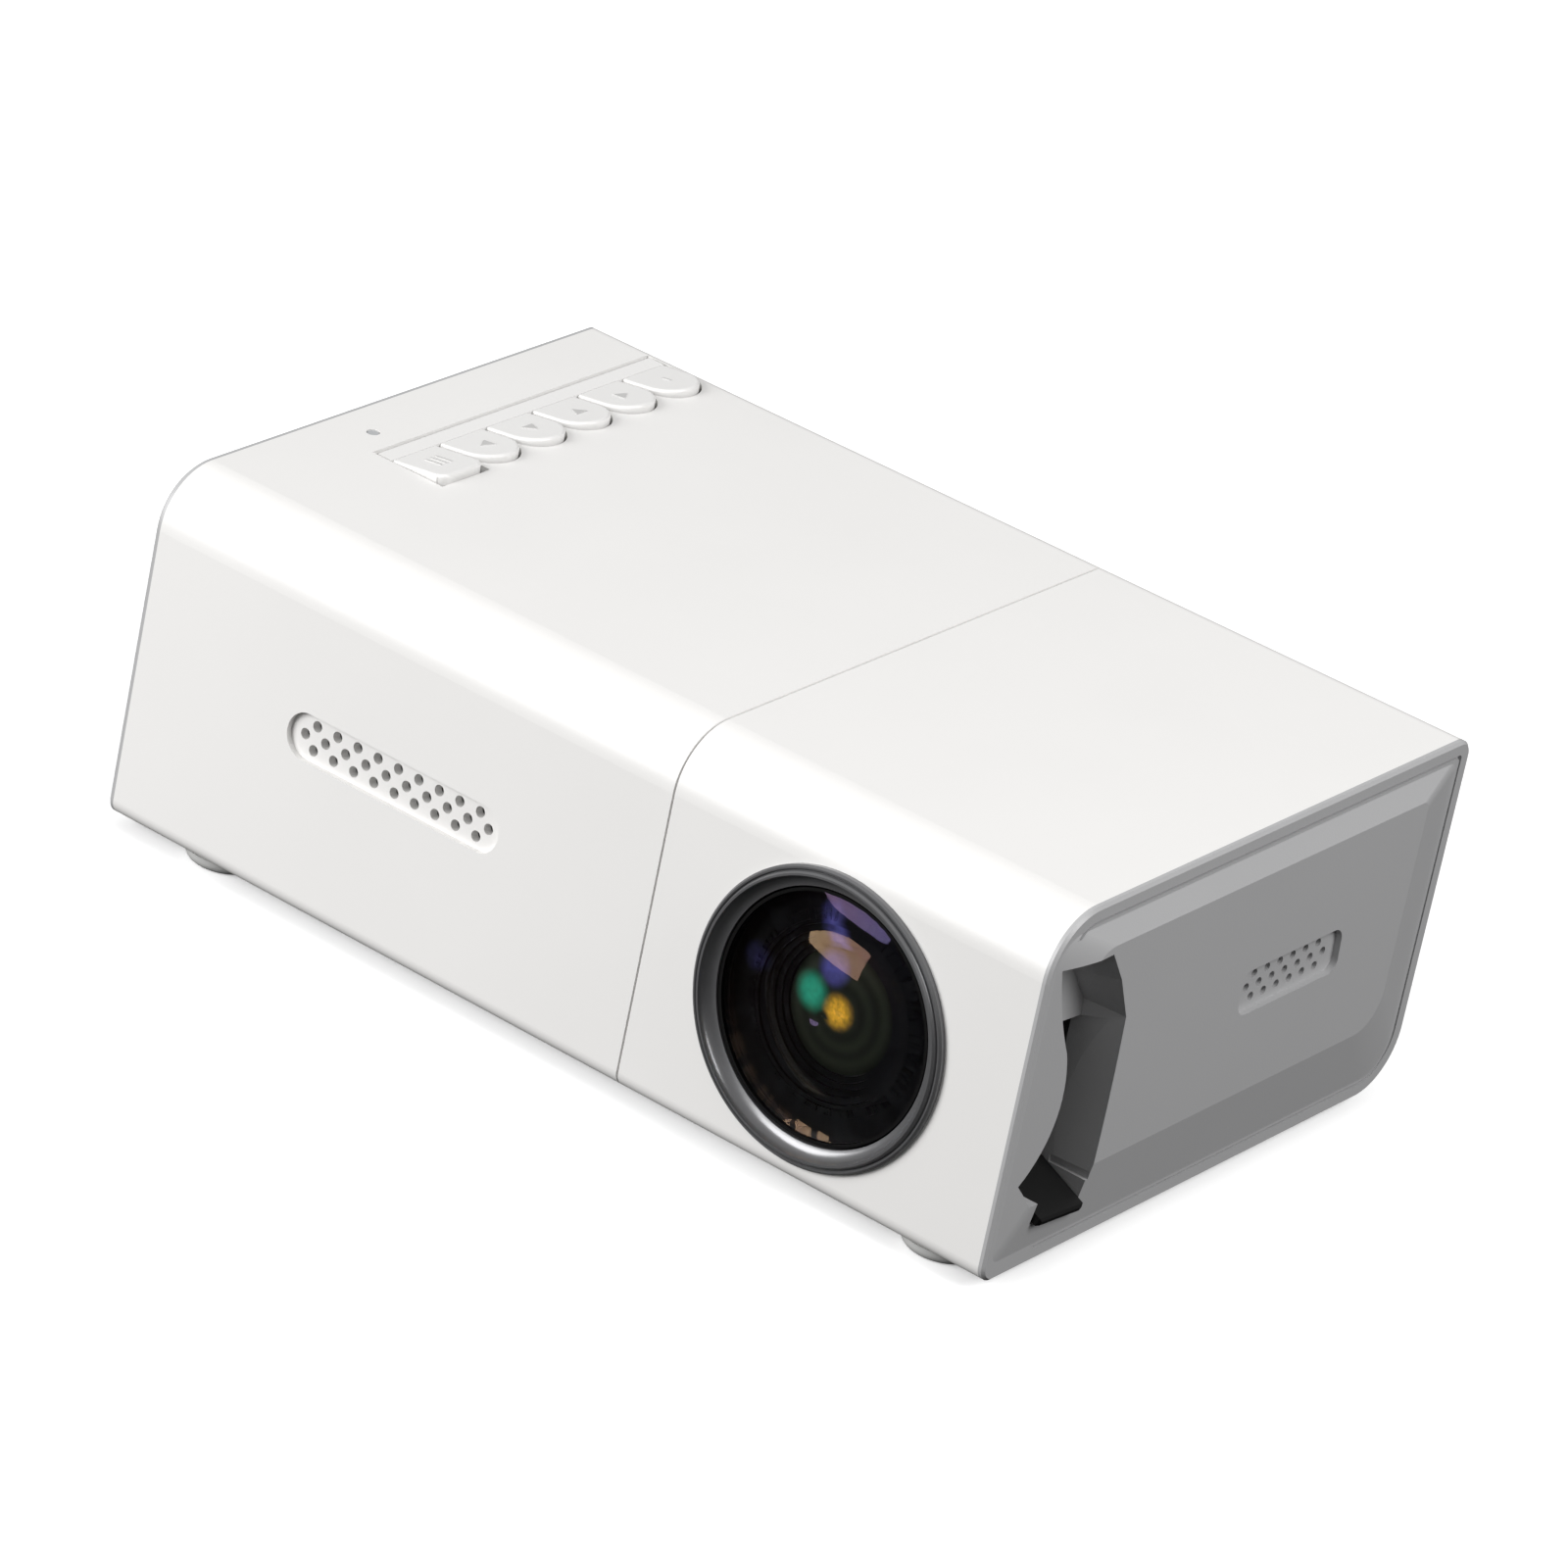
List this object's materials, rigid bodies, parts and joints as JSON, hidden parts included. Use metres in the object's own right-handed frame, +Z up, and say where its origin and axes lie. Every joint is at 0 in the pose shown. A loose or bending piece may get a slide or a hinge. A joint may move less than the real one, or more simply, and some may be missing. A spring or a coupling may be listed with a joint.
{
  "type": "home projector",
  "caption": "Pocket LED projector: a leaning two-part housing with round lens, focus lever, sprung keys, grilles, rear sockets and a full optical engine inside.",
  "frame": {"origin": "on the table under the middle of the housing", "axes": "+Z up, +X along the body towards the end with the focus lever, -Y the way the lens looks"},
  "size_m": [0.1403, 0.0827, 0.0472],
  "materials": {
    "shell_white": "semi-gloss",
    "cover_grey": "satin",
    "bezel_gunmetal": "glossy",
    "lever_black": "matte",
    "keys_white": "semi-gloss",
    "foot_grey": "matte",
    "frame_grey": "matte",
    "inner_black": "matte",
    "brass": "machined",
    "screw_steel": "plated",
    "board_green": "solder mask",
    "socket_steel": "plated",
    "light_clear": "clear",
    "felt_black": "woven",
    "optic_glass": "coated",
    "panel_glass": "clear",
    "sink_aluminium": "extruded",
    "led_white": "solder mask",
    "led_phosphor": "moulded"
  },
  "bodies": {
    "housing": {"main_sleeve": "shell_white", "lens_sleeve": "shell_white", "left_end_cover": "cover_grey", "right_end_cover": "cover_grey", "joining_frame": "frame_grey", "base_tray": "frame_grey", "tripod_insert": "brass", "housing_screws": "screw_steel", "feet": "foot_grey", "key_strip": "keys_white", "key_board": "board_green", "key_switches": "inner_black", "status_light": "light_clear", "main_board": "board_green", "board_screws": "screw_steel", "board_components": "inner_black", "hdmi_socket": "socket_steel", "usb_socket": "socket_steel", "card_slot": "socket_steel", "av_jack": "inner_black", "headphone_jack": "inner_black", "power_jack": "inner_black", "speaker_felt": "felt_black", "speaker_frame": "frame_grey", "speaker_cone": "felt_black", "speaker_magnet": "screw_steel", "lens_bezel": "bezel_gunmetal", "lens_holder": "inner_black", "engine_housing": "frame_grey", "engine_lid": "frame_grey", "output_fresnel": "optic_glass", "lcd_panel": "panel_glass", "input_fresnel": "optic_glass", "condenser_lens": "optic_glass", "led_board": "led_white", "led_chip": "led_phosphor", "heat_sink": "sink_aluminium", "engine_bracket": "frame_grey", "fan_frame": "inner_black"},
    "focus_control": {"focus_ring": "inner_black", "focus_lever": "lever_black"},
    "lens_carrier": {"lens_barrel": "inner_black", "barrel_pins": "screw_steel", "front_lens": "optic_glass", "lens_baffle": "inner_black", "middle_lens": "optic_glass", "rear_lens": "optic_glass"},
    "fan_wheel": {"fan_rotor": "inner_black"},
    "menu_key_tongue": {"menu_key": "keys_white"},
    "left_key_tongue": {"left_key": "keys_white"},
    "down_key_tongue": {"down_key": "keys_white"},
    "up_key_tongue": {"up_key": "keys_white"},
    "right_key_tongue": {"right_key": "keys_white"},
    "power_key_tongue": {"power_key": "keys_white"}
  },
  "joints": [
    {"name": "focus_turn", "type": "hinge", "parent": "housing", "child": "focus_control", "pos_m": [0.0397, -0.0288, 0.02117], "axis": [0, -0.996, 0.0893], "range_deg": [0, 40]},
    {"name": "lens_travel", "type": "slide", "parent": "housing", "child": "lens_carrier", "axis": [0, -0.996, 0.0893], "range_m": [-0.00222, 0]},
    {"name": "fan_spin", "type": "hinge", "parent": "housing", "child": "fan_wheel", "pos_m": [0.0621, 0.0208, 0.0242], "axis": [1, 0, 0], "continuous": true},
    {"name": "menu_key_press", "type": "hinge", "parent": "housing", "child": "menu_key_tongue", "pos_m": [-0.0553, -0.0074, 0.0454], "axis": [0, 1, 0], "range_deg": [0, 4], "stiffness_Nm_per_rad": 0.12},
    {"name": "left_key_press", "type": "hinge", "parent": "housing", "child": "left_key_tongue", "pos_m": [-0.0553, 0.001, 0.0454], "axis": [0, 1, 0], "range_deg": [0, 4], "stiffness_Nm_per_rad": 0.12},
    {"name": "down_key_press", "type": "hinge", "parent": "housing", "child": "down_key_tongue", "pos_m": [-0.0553, 0.0094, 0.0454], "axis": [0, 1, 0], "range_deg": [0, 4], "stiffness_Nm_per_rad": 0.12},
    {"name": "up_key_press", "type": "hinge", "parent": "housing", "child": "up_key_tongue", "pos_m": [-0.0553, 0.0178, 0.0454], "axis": [0, 1, 0], "range_deg": [0, 4], "stiffness_Nm_per_rad": 0.12},
    {"name": "right_key_press", "type": "hinge", "parent": "housing", "child": "right_key_tongue", "pos_m": [-0.0553, 0.0262, 0.0454], "axis": [0, 1, 0], "range_deg": [0, 4], "stiffness_Nm_per_rad": 0.12},
    {"name": "power_key_press", "type": "hinge", "parent": "housing", "child": "power_key_tongue", "pos_m": [-0.0553, 0.0346, 0.0454], "axis": [0, 1, 0], "range_deg": [0, 4], "stiffness_Nm_per_rad": 0.12}
  ],
  "couplings": [
    {"joint": "focus_turn", "follows": "lens_travel", "rad_per_m": -314.16}
  ]
}
